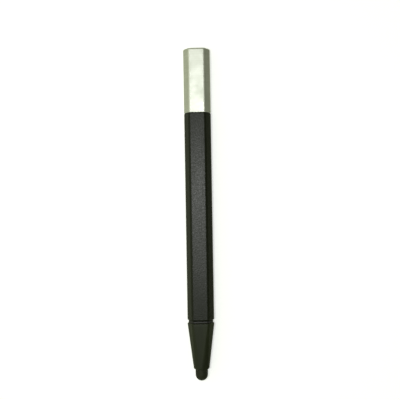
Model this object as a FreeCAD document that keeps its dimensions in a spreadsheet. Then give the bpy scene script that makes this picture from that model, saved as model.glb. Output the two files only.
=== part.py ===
"""Touch-screen stylus: a hexagonal plastic barrel on a brass core, a pull-off metal cap over a reset pin,
and a pull-off nose that holds a replaceable conductive rubber tip.

Every piece is drawn standing, with the pen's axis on local Z, the rubber tip's end at z = 0 and the cap's
closed end at the top. One placement then lays each piece down: the axis along +Y with the cap at +Y, two
flats of the hexagon level, and the lower flat on z = 0 with the origin half-way along the pen.
Lengths are in millimetres.
"""

import FreeCAD, Part
import math
import os

import Sketcher

App = FreeCAD
doc = App.newDocument("stylus")

# ---------------------------------------------------------------- driving dimensions

DIMENSIONS = [
    # outline
    ("across_flats", 7.2, "section of the barrel, cap and nose, from the lower flat to the upper"),
    ("pen_width", 9.1, "the same section, from one side edge to the other"),
    ("corner_radius", 1.0, "rounding of the section's four upper and lower edges"),
    ("side_radius", 2.0, "rounding of its two side edges"),
    ("tip_length", 4.0, "rubber tip, the part that shows"),
    ("nose_length", 15.8, "nose cone, front face to shoulder"),
    ("groove_width", 0.8, "gap between nose and barrel that shows the gasket"),
    ("barrel_length", 70.4, "black barrel"),
    ("cap_parting", 0.1, "fine gap between barrel and cap"),
    ("cap_length", 21.7, "metal cap"),
    ("edge_break", 0.2, "chamfer on the barrel's top and the nose's shoulder, halved on the cap's mouth"),
    ("foot_break", 0.4, "chamfer on the barrel's foot, above the gasket"),
    # fits
    ("slide_clearance", 0.03, "radial, between pieces that pull apart"),
    ("seat_clearance", 0.01, "radial, between pieces that are pressed together"),
    ("ring_clearance", 0.015, "radial, between an O-ring and the bore that it grips"),
    # barrel and core
    ("barrel_bore", 5.0, "through bore of the barrel"),
    ("core_wall", 0.5, "wall of the brass core tube"),
    ("socket_bore", 5.6, "counterbore for the nose socket"),
    ("socket_length", 10.0, "length of the nose socket"),
    ("socket_web", 1.0, "web that closes the socket's inner end"),
    ("web_hole", 2.0, "hole through that web"),
    # nose
    ("nose_end", 5.3, "diameter of the nose's front"),
    ("nose_chamfer", 0.25, "chamfer round the nose's front"),
    ("nose_flange", 0.4, "straight hexagonal land behind the cone"),
    ("spigot_diameter", 4.8, "nominal diameter of both spigots"),
    ("nose_spigot", 8.0, "length of the nose's spigot inside the socket"),
    ("spring_bore", 2.8, "bore of the nose for the contact spring"),
    ("tip_bore", 2.4, "bore of the nose for the tip's plug"),
    ("tip_seat", 7.0, "depth of that bore, from the front face"),
    ("key_width", 1.0, "key that lines the nose up with the barrel"),
    ("key_length", 1.6, "length of the key"),
    # tip and carrier
    ("tip_diameter", 4.2, "rubber tip"),
    ("stem_diameter", 1.2, "stem of the tip carrier"),
    ("stem_chamfer", 0.25, "chamfer on the stem's end"),
    ("stem_cover", 1.6, "rubber in front of the stem"),
    ("carrier_head", 2.0, "length of the carrier's head"),
    ("plug_relief", 0.1, "gap between the tip's plug and the carrier's head"),
    # seals
    ("neck_diameter", 5.5, "neck of the nose, which carries the gasket"),
    ("seal_inset", 0.35, "how far the gasket lies inside the pen's outline"),
    ("seal_round", 0.2, "rounding of the gasket's outer edges"),
    ("ring_section", 0.5, "section of the two friction O-rings"),
    ("ring_land", 3.0, "distance of each friction O-ring from its spigot's free end"),
    ("end_float", 0.02, "total play of a ring or the gasket in the groove that holds it"),
    # spring
    ("spring_wire", 0.35, "wire of the contact spring"),
    ("spring_turns", 11.0, "active turns"),
    ("closed_pitch", 1.08, "pitch of the closed end turns, in wire diameters"),
    # cap
    ("cap_wall", 0.6, "wall of the metal cap"),
    ("cap_end_wall", 0.8, "closed end of the metal cap"),
    ("cap_end_radius", 0.5, "rounding round the closed end"),
    ("liner_length", 9.0, "plastic liner inside the cap"),
    ("index_height", 1.0, "hexagonal land that lines the cap up with the barrel"),
    ("plug_length", 8.0, "cap spigot's plug inside the barrel"),
    ("collar_diameter", 6.0, "collar of the cap spigot"),
    ("collar_height", 1.0, "height of that collar"),
    ("cap_spigot_length", 8.0, "spigot that the cap pushes on"),
    ("lead_chamfer", 0.35, "lead-in on spigot ends and liner mouth"),
    ("socket_lead", 0.15, "lead-in at the socket's mouth"),
    ("core_recess", 3.0, "diameter of the recess that lightens the plug"),
    # reset pin
    ("pin_diameter", 0.9, "steel reset pin"),
    ("pin_depth", 5.0, "length held in the spigot"),
    ("pin_reach", 8.0, "length that stands out"),
]


def make_sheet():
    """A spreadsheet with one aliased cell, a plain number, for each driving dimension."""
    sheet = doc.addObject("Spreadsheet::Sheet", "dims")
    for row, (alias, value, note) in enumerate(DIMENSIONS, start=1):
        sheet.set(f"A{row}", alias)
        sheet.set(f"B{row}", str(value))
        sheet.set(f"C{row}", note)
        sheet.setAlias(f"B{row}", alias)
    doc.recompute()
    return sheet


dims = make_sheet()


def of(text):
    """Turns words of the sheet into an expression: every alias gets the sheet's name in front."""
    aliases = {alias for alias, _, _ in DIMENSIONS}
    out, word = [], ""
    for letter in text + " ":
        if letter.isalnum() or letter == "_":
            word += letter
            continue
        out.append(f"dims.{word}" if word in aliases else word)
        out.append(letter)
        word = ""
    return "".join(out).strip()


def value(text):
    """The number that an expression of sheet words stands for."""
    result = dims.evalExpression(of(text))
    return float(getattr(result, "Value", result))


# Stations along the pen, from the rubber tip's end, as expressions of the sheet's words.
NOSE_FRONT = "tip_length"
NOSE_TOP = f"({NOSE_FRONT} + nose_length)"
BARREL_FOOT = f"({NOSE_TOP} + groove_width)"
BARREL_TOP = f"({BARREL_FOOT} + barrel_length)"
CAP_FOOT = f"({BARREL_TOP} + cap_parting)"
CAP_TOP = f"({CAP_FOOT} + cap_length)"
SPIGOT_FOOT = f"({CAP_FOOT} + index_height)"
SPIGOT_TOP = f"({SPIGOT_FOOT} + cap_spigot_length)"
NOSE_SPIGOT_TOP = f"({BARREL_FOOT} + nose_spigot)"
CARRIER_SEAT = f"({NOSE_FRONT} + tip_seat)"
CARRIER_TOP = f"({CARRIER_SEAT} + carrier_head)"
WEB_FOOT = f"({BARREL_FOOT} + socket_length - socket_web)"

# The flattened hexagon: where the middles of its rounded edges lie, and how far its sloping sides are from
# the axis. The sides slope at 60 degrees.
SIDE_CENTRE = "(pen_width / 2 - side_radius)"
SLOPE_REACH = f"(side_radius + {SIDE_CENTRE} * cos(30 deg))"
CORNER_HEIGHT = "(across_flats / 2 - corner_radius)"
CORNER_CENTRE = f"(({SLOPE_REACH} - corner_radius - {CORNER_HEIGHT} / 2) / cos(30 deg))"

# Radii shared by the pieces on both sides of each fit.
SLIDING_SPIGOT = "(spigot_diameter / 2 - slide_clearance)"
RING_OUTSIDE = "(spigot_diameter / 2 - ring_clearance)"
RING_FLOOR = f"({RING_OUTSIDE} - ring_section)"


# ---------------------------------------------------------------- drawing helpers


def new_body(label):
    """A PartDesign body with its node's name, laid down beside every other piece."""
    body = doc.addObject("PartDesign::Body", label)
    body.Label = label
    body.Placement = App.Placement(App.Vector(0, 0, 0), App.Rotation(App.Vector(1, 0, 0), -90))
    body.setExpression("Placement.Base.y", of(f"-{CAP_TOP} / 2"))
    body.setExpression("Placement.Base.z", of("across_flats / 2"))
    return body


def plane_of(body, role):
    return next(f for f in body.Origin.OriginFeatures if f.Role == role)


def new_sketch(body, name, role, height="0"):
    """A sketch on one of the body's own planes. height lifts a level sketch along the pen."""
    sketch = body.newObject("Sketcher::SketchObject", name)
    sketch.AttachmentSupport = (plane_of(body, role), [""])
    sketch.MapMode = "FlatFace"
    if height != "0":
        sketch.setExpression("AttachmentOffset.Base.z", of(height))
    return sketch


def bind(sketch, constraint, text):
    """Adds a constraint with a size and ties that size to the sheet."""
    index = sketch.addConstraint(constraint)
    sketch.setExpression(f"Constraints[{index}]", of(text))


def pin_point(sketch, geometry, end, x_text, y_text):
    """Fixes one point of a sketch at two distances from its origin, each an expression."""
    for kind, text, axis in (("DistanceX", x_text, -2), ("DistanceY", y_text, -1)):
        number = value(text)
        if abs(number) < 1e-9:
            sketch.addConstraint(Sketcher.Constraint("PointOnObject", geometry, end, axis))
        elif number > 0:
            bind(sketch, Sketcher.Constraint(kind, -1, 1, geometry, end, number), text)
        else:
            bind(sketch, Sketcher.Constraint(kind, geometry, end, -1, 1, -number), f"-({text})")


def flat(x_text, y_text):
    return App.Vector(value(x_text), value(y_text), 0)


def polygon(sketch, points):
    """A closed outline of straight lines through (x, y) expressions."""
    count = len(points)
    places = [flat(*p) for p in points]
    for i in range(count):
        sketch.addGeometry(Part.LineSegment(places[i], places[(i + 1) % count]), False)
    for i in range(count):
        sketch.addConstraint(Sketcher.Constraint("Coincident", i, 2, (i + 1) % count, 1))
        pin_point(sketch, i, 1, *points[i])


def ring_of_arcs(sketch, points, radii):
    """A closed outline, drawn anticlockwise, whose piece i runs from point i to the next: a line where
    radii[i] is None, and otherwise an arc of that radius that bulges outwards."""
    count = len(points)
    places = [flat(*p) for p in points]
    for i in range(count):
        start, end = places[i], places[(i + 1) % count]
        if radii[i] is None:
            sketch.addGeometry(Part.LineSegment(start, end), False)
            continue
        radius, middle = value(radii[i]), (start + end) * 0.5
        chord = end - start
        outward = App.Vector(chord.y, -chord.x, 0).normalize()
        sink = math.sqrt(max(radius**2 - (chord.Length / 2) ** 2, 0.0))
        crest = middle + outward * (radius - sink)
        sketch.addGeometry(Part.Arc(start, crest, end), False)
    for i in range(count):
        sketch.addConstraint(Sketcher.Constraint("Coincident", i, 2, (i + 1) % count, 1))
        pin_point(sketch, i, 1, *points[i])
        if radii[i] is not None:
            bind(sketch, Sketcher.Constraint("Radius", i, value(radii[i])), radii[i])


def rounded_hexagon(sketch, inset="0"):
    """The pen's section, or a smaller one drawn in by an inset all round: six arcs and six lines. It has a
    side edge at 0 and 180 degrees and the ends of the level flats at 60, 120, 240 and 300."""
    points, radii = [], []
    for edge, (across, up) in enumerate(((1, 0), (1, 1), (-1, 1), (-1, 0), (-1, -1), (1, -1))):
        centre = CORNER_CENTRE if up else SIDE_CENTRE
        radius = f"({'corner_radius' if up else 'side_radius'} - {inset})"
        for way in (-1, 1):
            turn = 60 * edge + 30 * way
            x_text = f"{across} * {centre} + {radius} * cos({turn} deg)"
            y_text = f"{up} * {CORNER_HEIGHT} + {radius} * sin({turn} deg)"
            points.append((x_text, y_text))
        radii += [radius, None]
    ring_of_arcs(sketch, points, radii)


def twelve_arc_circle(sketch, radius):
    """A circle in twelve equal arcs, one for each piece of a rounded hexagon's outline."""
    points = []
    for step in range(12):
        turn = 30 * step - 15
        points.append((f"{radius} * cos({turn} deg)", f"{radius} * sin({turn} deg)"))
    ring_of_arcs(sketch, points, [radius] * 12)


def pad(body, sketch, length, name):
    feature = body.newObject("PartDesign::Pad", name)
    feature.Profile = sketch
    feature.setExpression("Length", of(length))
    return feature


def pocket(body, sketch, length, name):
    """Cuts upwards, along the pen's axis, from the sketch's plane."""
    feature = body.newObject("PartDesign::Pocket", name)
    feature.Profile = sketch
    feature.Reversed = True
    feature.setExpression("Length", of(length))
    return feature


def turned(body, name, points, cut=False):
    """A turned shape: the outline (radius, height) goes round the pen's axis, as metal or as a cut."""
    sketch = new_sketch(body, name + "_outline", "XZ_Plane")
    polygon(sketch, points)
    feature = body.newObject("PartDesign::Groove" if cut else "PartDesign::Revolution", name)
    feature.Profile = sketch
    feature.ReferenceAxis = (sketch, ["V_Axis"])
    feature.Angle = 360
    return feature


def domed_end(body, name, centre, radius, way):
    """Half a ball on the pen's axis. way is 1 for a dome that looks up and -1 for one that looks down."""
    sketch = new_sketch(body, name + "_outline", "XZ_Plane")
    middle, side, pole = flat("0", centre), flat(radius, centre), flat("0", f"{centre} + {way} * {radius}")
    crest = middle + App.Vector(math.cos(math.pi / 4), way * math.sin(math.pi / 4), 0) * value(radius)
    sketch.addGeometry(Part.Arc(side, crest, pole), False)
    first, last = (1, 2) if way > 0 else (2, 1)
    sketch.addGeometry(Part.LineSegment(pole, middle), False)
    sketch.addGeometry(Part.LineSegment(middle, side), False)
    sketch.addConstraint(Sketcher.Constraint("Coincident", 0, last, 1, 1))
    sketch.addConstraint(Sketcher.Constraint("Coincident", 1, 2, 2, 1))
    sketch.addConstraint(Sketcher.Constraint("Coincident", 2, 2, 0, first))
    sketch.addConstraint(Sketcher.Constraint("Coincident", 0, 3, 1, 2))
    pin_point(sketch, 1, 2, "0", centre)
    sketch.addConstraint(Sketcher.Constraint("PointOnObject", 1, 1, -2))
    sketch.addConstraint(Sketcher.Constraint("Horizontal", 2))
    bind(sketch, Sketcher.Constraint("Radius", 0, value(radius)), radius)
    feature = body.newObject("PartDesign::Revolution", name)
    feature.Profile = sketch
    feature.ReferenceAxis = (sketch, ["V_Axis"])
    feature.Angle = 360
    return feature


def round_section(sketch, distance, height, radius):
    """A circle beside the pen's axis: the section of a ring or of a wire."""
    sketch.addGeometry(Part.Circle(flat(distance, height), App.Vector(0, 0, 1), value(radius)), False)
    pin_point(sketch, 0, 3, distance, height)
    bind(sketch, Sketcher.Constraint("Radius", 0, value(radius)), radius)


def circle_ring(body, name, ring_radius, height, section_radius):
    """A round-section ring: a circle off the axis, turned."""
    sketch = new_sketch(body, name + "_section", "XZ_Plane")
    round_section(sketch, ring_radius, height, section_radius)
    feature = body.newObject("PartDesign::Revolution", name)
    feature.Profile = sketch
    feature.ReferenceAxis = (sketch, ["V_Axis"])
    feature.Angle = 360
    return feature


def edges_at(feature, height, reach):
    """Names of the edges that lie level at a height and further from the axis than reach."""
    found = []
    for number, edge in enumerate(feature.Shape.Edges, start=1):
        box = edge.BoundBox
        middle = edge.valueAt((edge.FirstParameter + edge.LastParameter) / 2)
        level = abs(box.ZMin - height) < 1e-4 and abs(box.ZMax - height) < 1e-4
        if level and math.hypot(middle.x, middle.y) > reach:
            found.append(f"Edge{number}")
    return found


def soften(body, kind, feature, height, reach, size, name):
    """A chamfer or fillet round the outer edge loop at one height."""
    doc.recompute()
    made = body.newObject(f"PartDesign::{kind}", name)
    made.Base = (feature, edges_at(feature, value(height), value(reach)))
    made.setExpression("Radius" if kind == "Fillet" else "Size", of(size))
    return made


def stage(x_text, *heights):
    """Points of an outline that share a radius."""
    return [(x_text, h) for h in heights]


# ---------------------------------------------------------------- barrel and what it holds


def make_barrel():
    """Hexagonal moulding, bored through, with a counterbore at each end."""
    body = new_body("barrel")
    outline = new_sketch(body, "barrel_outline", "XY_Plane", BARREL_FOOT)
    rounded_hexagon(outline)
    prism = pad(body, outline, "barrel_length", "barrel_prism")
    reach = "barrel_bore / 2"
    foot = soften(body, "Chamfer", prism, BARREL_FOOT, reach, "foot_break", "barrel_foot_break")
    soften(body, "Chamfer", foot, BARREL_TOP, reach, "edge_break", "barrel_top_break")
    socket_end = f"{BARREL_FOOT} + socket_length"
    collar_seat = f"{BARREL_TOP} - collar_height"
    points = [
        ("0", f"{BARREL_FOOT} - 1"),
        ("socket_bore / 2", f"{BARREL_FOOT} - 1"),
        ("socket_bore / 2", socket_end),
        ("barrel_bore / 2", socket_end),
        ("barrel_bore / 2", collar_seat),
        ("collar_diameter / 2", collar_seat),
        ("collar_diameter / 2", f"{BARREL_TOP} + 1"),
        ("0", f"{BARREL_TOP} + 1"),
    ]
    turned(body, "barrel_bores", points, cut=True)
    return body


def make_core_tube():
    """Brass tube that gives the pen its weight and carries the charge of the tip to the hand."""
    body = new_body("core_tube")
    outside = "barrel_bore / 2 - seat_clearance"
    inside = f"{outside} - core_wall"
    foot = f"{BARREL_FOOT} + socket_length"
    top = f"{BARREL_TOP} - plug_length"
    turned(body, "core_tube_wall", stage(inside, foot) + stage(outside, foot, top) + stage(inside, top))
    return body


def make_nose_socket():
    """Brass bush pressed into the barrel's foot. The nose pushes into it, and its web backs the spring."""
    body = new_body("nose_socket")
    outside = "socket_bore / 2 - seat_clearance"
    points = [
        ("spigot_diameter / 2 + socket_lead", BARREL_FOOT),
        (outside, BARREL_FOOT),
        (outside, f"{BARREL_FOOT} + socket_length"),
        ("web_hole / 2", f"{BARREL_FOOT} + socket_length"),
        ("web_hole / 2", WEB_FOOT),
        ("spigot_diameter / 2", WEB_FOOT),
        ("spigot_diameter / 2", f"{BARREL_FOOT} + socket_lead"),
    ]
    turned(body, "nose_socket_bush", points)
    slot = new_sketch(body, "nose_socket_slot", "XY_Plane", BARREL_FOOT)
    half = "(key_width / 2 + slide_clearance)"
    polygon(slot, [("0", f"-{half}"), ("socket_bore", f"-{half}"), ("socket_bore", half), ("0", half)])
    pocket(body, slot, "key_length + slide_clearance", "nose_socket_keyway")
    return body


def make_cap_spigot():
    """Moulded plug in the barrel's top. Its collar is flush, its hexagonal land lines the cap up, and the
    cap pushes on the spigot above, which has a groove for the O-ring and a bore for the reset pin."""
    body = new_body("cap_spigot")
    plug = "barrel_bore / 2 - seat_clearance"
    collar = "collar_diameter / 2 - seat_clearance"
    ring_height = f"({SPIGOT_TOP} - ring_land)"
    half_groove = "(ring_section + end_float) / 2"
    foot = f"{BARREL_TOP} - plug_length"
    recess_top = f"{BARREL_TOP} - collar_height"
    points = [
        ("core_recess / 2", foot),
        (plug, foot),
        (plug, f"{BARREL_TOP} - collar_height"),
        (collar, f"{BARREL_TOP} - collar_height"),
        (collar, BARREL_TOP),
        (SLIDING_SPIGOT, BARREL_TOP),
        (SLIDING_SPIGOT, f"{ring_height} - {half_groove}"),
        (RING_FLOOR, f"{ring_height} - {half_groove}"),
        (RING_FLOOR, f"{ring_height} + {half_groove}"),
        (SLIDING_SPIGOT, f"{ring_height} + {half_groove}"),
        (SLIDING_SPIGOT, f"{SPIGOT_TOP} - lead_chamfer"),
        (f"{SLIDING_SPIGOT} - lead_chamfer", SPIGOT_TOP),
        ("pin_diameter / 2", SPIGOT_TOP),
        ("pin_diameter / 2", f"{SPIGOT_TOP} - pin_depth"),
        ("0", f"{SPIGOT_TOP} - pin_depth"),
        ("0", recess_top),
        ("core_recess / 2", recess_top),
    ]
    turned(body, "cap_spigot_turned", points)
    land = new_sketch(body, "cap_spigot_land_outline", "XY_Plane", BARREL_TOP)
    rounded_hexagon(land, "(cap_wall + slide_clearance)")
    pad(body, land, "cap_parting + index_height", "cap_spigot_land")
    return body


def make_reset_pin():
    """Steel pin with a blunt end, pressed into the spigot, for a handheld's reset hole."""
    body = new_body("reset_pin")
    radius = "(pin_diameter / 2 - seat_clearance)"
    foot = f"{SPIGOT_TOP} - pin_depth + seat_clearance"
    top = f"({SPIGOT_TOP} + pin_reach)"
    centre = f"({top} - {radius})"
    turned(body, "reset_pin_shank", stage("0", foot) + stage(radius, foot, centre) + stage("0", centre))
    doc.recompute()
    domed_end(body, "reset_pin_end", centre, radius, 1)
    return body


def make_cap_o_ring():
    """Rubber ring on the cap's spigot. It grips the liner."""
    body = new_body("cap_o_ring")
    section = "ring_section / 2"
    height = f"{SPIGOT_TOP} - ring_land"
    circle_ring(body, "cap_o_ring_round", f"{RING_OUTSIDE} - {section}", height, section)
    return body


# ---------------------------------------------------------------- cap


def make_cap_shell():
    """Aluminium hexagonal cap, closed at the top, with a hexagonal inside."""
    body = new_body("cap_shell")
    outline = new_sketch(body, "cap_outline", "XY_Plane", CAP_FOOT)
    rounded_hexagon(outline)
    prism = pad(body, outline, "cap_length", "cap_prism")
    rounded = soften(body, "Fillet", prism, CAP_TOP, "0", "cap_end_radius", "cap_end_round")
    soften(body, "Chamfer", rounded, CAP_FOOT, "0", "edge_break / 2", "cap_mouth_break")
    inside = new_sketch(body, "cap_inside_outline", "XY_Plane", CAP_FOOT)
    rounded_hexagon(inside, "cap_wall")
    pocket(body, inside, "cap_length - cap_end_wall", "cap_inside")
    return body


def make_cap_liner():
    """Plastic sleeve pressed into the cap: hexagonal outside, round inside, with a lead-in at its mouth."""
    body = new_body("cap_liner")
    foot = SPIGOT_FOOT
    outline = new_sketch(body, "cap_liner_outline", "XY_Plane", foot)
    rounded_hexagon(outline, "(cap_wall + seat_clearance)")
    pad(body, outline, "liner_length", "cap_liner_block")
    bore = "spigot_diameter / 2"
    points = [
        ("0", f"{foot} - 1"),
        (f"{bore} + lead_chamfer", f"{foot} - 1"),
        (f"{bore} + lead_chamfer", foot),
        (bore, f"{foot} + lead_chamfer"),
        (bore, f"{foot} + liner_length + 1"),
        ("0", f"{foot} + liner_length + 1"),
    ]
    turned(body, "cap_liner_bore", points, cut=True)
    return body


# ---------------------------------------------------------------- nose, tip and contact


def make_nose_cone():
    """Black moulded nose: a hexagon that turns round towards the tip, with a spigot for the socket. The key
    on the spigot runs in the socket's slot, and its outer corners just clear the barrel."""
    body = new_body("nose_cone")
    land_foot = f"({NOSE_TOP} - nose_flange)"
    hexagon = new_sketch(body, "nose_hexagon", "XY_Plane", land_foot)
    rounded_hexagon(hexagon)
    front = new_sketch(body, "nose_front", "XY_Plane", NOSE_FRONT)
    twelve_arc_circle(front, "nose_end / 2")
    doc.recompute()
    loft = body.newObject("PartDesign::AdditiveLoft", "nose_cone_loft")
    loft.Profile = hexagon
    loft.Sections = [front]
    loft.Ruled = True
    doc.recompute()
    shoulder = new_sketch(body, "nose_land_outline", "XY_Plane", land_foot)
    rounded_hexagon(shoulder)
    land = pad(body, shoulder, "nose_flange", "nose_land")
    soften(body, "Chamfer", land, NOSE_TOP, "0", "edge_break", "nose_land_break")
    rim = "nose_end / 2"
    points = [
        (f"{rim} - nose_chamfer", NOSE_FRONT),
        (f"{rim} + nose_chamfer", NOSE_FRONT),
        (f"{rim} + nose_chamfer", f"{NOSE_FRONT} + 2 * nose_chamfer"),
    ]
    turned(body, "nose_front_break", points, cut=True)
    ring_height = f"({NOSE_SPIGOT_TOP} - ring_land)"
    half_groove = "(ring_section + end_float) / 2"
    points = [
        ("0", f"{NOSE_TOP} - nose_flange"),
        ("neck_diameter / 2", f"{NOSE_TOP} - nose_flange"),
        ("neck_diameter / 2", BARREL_FOOT),
        (SLIDING_SPIGOT, BARREL_FOOT),
        (SLIDING_SPIGOT, f"{ring_height} - {half_groove}"),
        (RING_FLOOR, f"{ring_height} - {half_groove}"),
        (RING_FLOOR, f"{ring_height} + {half_groove}"),
        (SLIDING_SPIGOT, f"{ring_height} + {half_groove}"),
        (SLIDING_SPIGOT, f"{NOSE_SPIGOT_TOP} - lead_chamfer"),
        (f"{SLIDING_SPIGOT} - lead_chamfer", NOSE_SPIGOT_TOP),
        ("0", NOSE_SPIGOT_TOP),
    ]
    turned(body, "nose_spigot", points)
    key = new_sketch(body, "nose_key_outline", "XY_Plane", BARREL_FOOT)
    near = f"{RING_FLOOR} + 0.1"
    half = "key_width / 2"
    far = f"sqrt((socket_bore / 2 - slide_clearance)^2 - ({half})^2)"
    polygon(key, [(near, f"-{half}"), (far, f"-{half}"), (far, half), (near, half)])
    pad(body, key, "key_length", "nose_key")
    bores = [
        ("0", f"{NOSE_FRONT} - 1"),
        ("tip_bore / 2", f"{NOSE_FRONT} - 1"),
        ("tip_bore / 2", CARRIER_SEAT),
        ("spring_bore / 2", CARRIER_SEAT),
        ("spring_bore / 2", f"{NOSE_SPIGOT_TOP} + 1"),
        ("0", f"{NOSE_SPIGOT_TOP} + 1"),
    ]
    turned(body, "nose_bores", bores, cut=True)
    return body


def make_nose_seal():
    """Hexagonal rubber gasket on the nose's neck. It fills the groove below the barrel and takes up the
    rattle."""
    body = new_body("nose_seal")
    foot = f"({NOSE_TOP} + end_float / 2)"
    top = f"({BARREL_FOOT} - end_float / 2)"
    outline = new_sketch(body, "nose_seal_outline", "XY_Plane", foot)
    rounded_hexagon(outline, "seal_inset")
    block = pad(body, outline, "groove_width - end_float", "nose_seal_block")
    lower = soften(body, "Fillet", block, foot, "0", "seal_round", "nose_seal_foot_round")
    soften(body, "Fillet", lower, top, "0", "seal_round", "nose_seal_top_round")
    bore = "neck_diameter / 2 + seat_clearance"
    points = [
        ("0", f"{foot} - 1"),
        (bore, f"{foot} - 1"),
        (bore, f"{top} + 1"),
        ("0", f"{top} + 1"),
    ]
    turned(body, "nose_seal_bore", points, cut=True)
    return body


def make_nose_o_ring():
    """Rubber ring on the nose's spigot. It grips the socket."""
    body = new_body("nose_o_ring")
    section = "ring_section / 2"
    height = f"{NOSE_SPIGOT_TOP} - ring_land"
    circle_ring(body, "nose_o_ring_round", f"{RING_OUTSIDE} - {section}", height, section)
    return body


def make_tip_carrier():
    """Brass pin: its head sits on the nose's inner step under the spring, its stem stiffens the tip."""
    body = new_body("tip_carrier")
    head = "spring_bore / 2 - seat_clearance"
    stem = "stem_diameter / 2"
    points = stage("0", "stem_cover")
    points += [(f"{stem} - stem_chamfer", "stem_cover"), (stem, "stem_cover + stem_chamfer")]
    points += stage(stem, CARRIER_SEAT) + stage(head, CARRIER_SEAT, CARRIER_TOP) + stage("0", CARRIER_TOP)
    turned(body, "tip_carrier_turned", points)
    return body


def make_contact_spring():
    """Compression spring with a closed turn at each end, from the carrier's head to the socket's web."""
    body = new_body("contact_spring")
    coil_radius = "(spring_bore / 2 - slide_clearance - seat_clearance - spring_wire / 2)"
    closed = "(spring_wire * closed_pitch)"
    foot = f"({CARRIER_TOP} + spring_wire / 2)"
    length = f"({WEB_FOOT} - {CARRIER_TOP} - spring_wire)"
    spans = [(foot, closed, "1"), (f"{foot} + {closed}", f"{length} - 2 * {closed}", "spring_turns")]
    spans.append((f"{foot} + {length} - {closed}", closed, "1"))
    for number, (start, height, turns) in enumerate(spans, start=1):
        sketch = new_sketch(body, f"spring_wire_{number}", "XZ_Plane")
        round_section(sketch, coil_radius, start, "spring_wire / 2")
        doc.recompute()
        coil = body.newObject("PartDesign::AdditiveHelix", f"spring_coil_{number}")
        coil.Profile = sketch
        coil.ReferenceAxis = (sketch, ["V_Axis"])
        coil.Mode = "height-turns-angle"
        coil.setExpression("Height", of(height))
        coil.setExpression("Turns", of(turns))
        coil.Reversed = False
        doc.recompute()
    return body


def make_tip():
    """Conductive rubber tip: a blunt dome in front of a plug, with a blind hole for the carrier's stem."""
    body = new_body("tip")
    radius = "(tip_diameter / 2)"
    plug = "tip_bore / 2 - slide_clearance"
    hole = "stem_diameter / 2 + slide_clearance"
    plug_top = f"{CARRIER_SEAT} - plug_relief"
    hole_foot = "stem_cover - plug_relief"
    points = stage("0", radius) + stage(radius, radius, NOSE_FRONT) + stage(plug, NOSE_FRONT, plug_top)
    turned(body, "tip_plug", points + stage("0", plug_top))
    doc.recompute()
    domed_end(body, "tip_dome", radius, radius, -1)
    above = f"{plug_top} + 1"
    points = stage("0", hole_foot) + stage(hole, hole_foot, above) + stage("0", above)
    turned(body, "tip_stem_hole", points, cut=True)
    return body


# ---------------------------------------------------------------- build, check and write


PIECES = [
    make_barrel(),
    make_core_tube(),
    make_nose_socket(),
    make_cap_spigot(),
    make_reset_pin(),
    make_cap_o_ring(),
    make_cap_shell(),
    make_cap_liner(),
    make_nose_cone(),
    make_nose_seal(),
    make_nose_o_ring(),
    make_tip_carrier(),
    make_contact_spring(),
    make_tip(),
]

doc.recompute()
for item in doc.Objects:
    if "Invalid" in item.State or "Error" in item.State:
        raise RuntimeError(f"{item.Name} did not build: {item.State}")
for piece in PIECES:
    if piece.Shape.isNull() or not piece.Shape.isValid() or not piece.Shape.Solids:
        raise RuntimeError(f"{piece.Label} has no valid solid")

os.makedirs("parts", exist_ok=True)
for piece in PIECES:
    piece.Shape.exportStep(f"parts/{piece.Label}.step")
    box = piece.Shape.BoundBox
    size = f"{box.XLength:.2f} x {box.YLength:.2f} x {box.ZLength:.2f}"
    print(f"{piece.Label:16s} {len(piece.Shape.Solids)} solid, {piece.Shape.Volume:9.2f} mm3, {size}")
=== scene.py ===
# %% [markdown]
# # A touch-screen stylus
#
# The object is a slim pen for a touch screen. It has a black hexagonal barrel, a pale metal cap that
# pulls off the top, and a black nose that pulls out of the foot and holds a blunt rubber tip. The exact
# solids come ready made, one mesh for each piece, lying in one frame: the pen points along Y with its cap
# at +Y, Z is up, and lengths are in metres. This lesson builds finer surfaces for the pieces that show,
# gives every piece its material, and lights the pen.

import math

import bpy
import numpy as np
from mathutils import Matrix, Vector


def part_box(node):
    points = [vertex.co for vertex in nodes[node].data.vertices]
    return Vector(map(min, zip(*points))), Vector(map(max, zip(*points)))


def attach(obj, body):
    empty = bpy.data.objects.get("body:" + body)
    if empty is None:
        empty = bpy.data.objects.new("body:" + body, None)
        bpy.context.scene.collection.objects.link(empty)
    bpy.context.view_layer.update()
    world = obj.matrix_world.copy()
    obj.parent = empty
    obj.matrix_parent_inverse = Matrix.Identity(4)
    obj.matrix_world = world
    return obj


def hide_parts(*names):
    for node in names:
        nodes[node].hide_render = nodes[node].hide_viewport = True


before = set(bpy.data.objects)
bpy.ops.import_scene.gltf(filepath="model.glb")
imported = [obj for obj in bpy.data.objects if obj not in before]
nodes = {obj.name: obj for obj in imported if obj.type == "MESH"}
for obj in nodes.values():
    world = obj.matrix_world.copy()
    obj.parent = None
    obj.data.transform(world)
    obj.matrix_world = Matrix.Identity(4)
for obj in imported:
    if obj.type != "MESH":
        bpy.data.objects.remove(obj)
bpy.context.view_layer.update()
print("pieces:", sorted(nodes))

# %% [markdown]
# ## Measuring the pen
#
# Every place below is read from the solids, so a change of size there changes the surfaces here. The
# section is a flattened hexagon. Its upper and lower sides are level, its four other sides slope at 60
# degrees, and its two side edges are rounder than the other four. Four sizes fix it: half the height h,
# half the width w, half the width f of the level flat, and the distance d from the axis to a sloping
# side. With c the cosine of 30 degrees, the side edges' radius is (d - c w) / (1 - c), and the other
# edges' is 2 d - 2 c f - h.

# %% Places and sizes read from the solids
MM = 0.001
COS_30 = math.cos(math.radians(30))
SAME_LEVEL = 0.001 * MM


def span(node, axis):
    """Where a node starts and ends along one axis: 0 is X, 1 is Y and 2 is Z."""
    low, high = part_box(node)
    return low[axis], high[axis]


def radius_of(node):
    """Half of a round node's width."""
    low, high = span(node, 0)
    return (high - low) / 2


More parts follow.
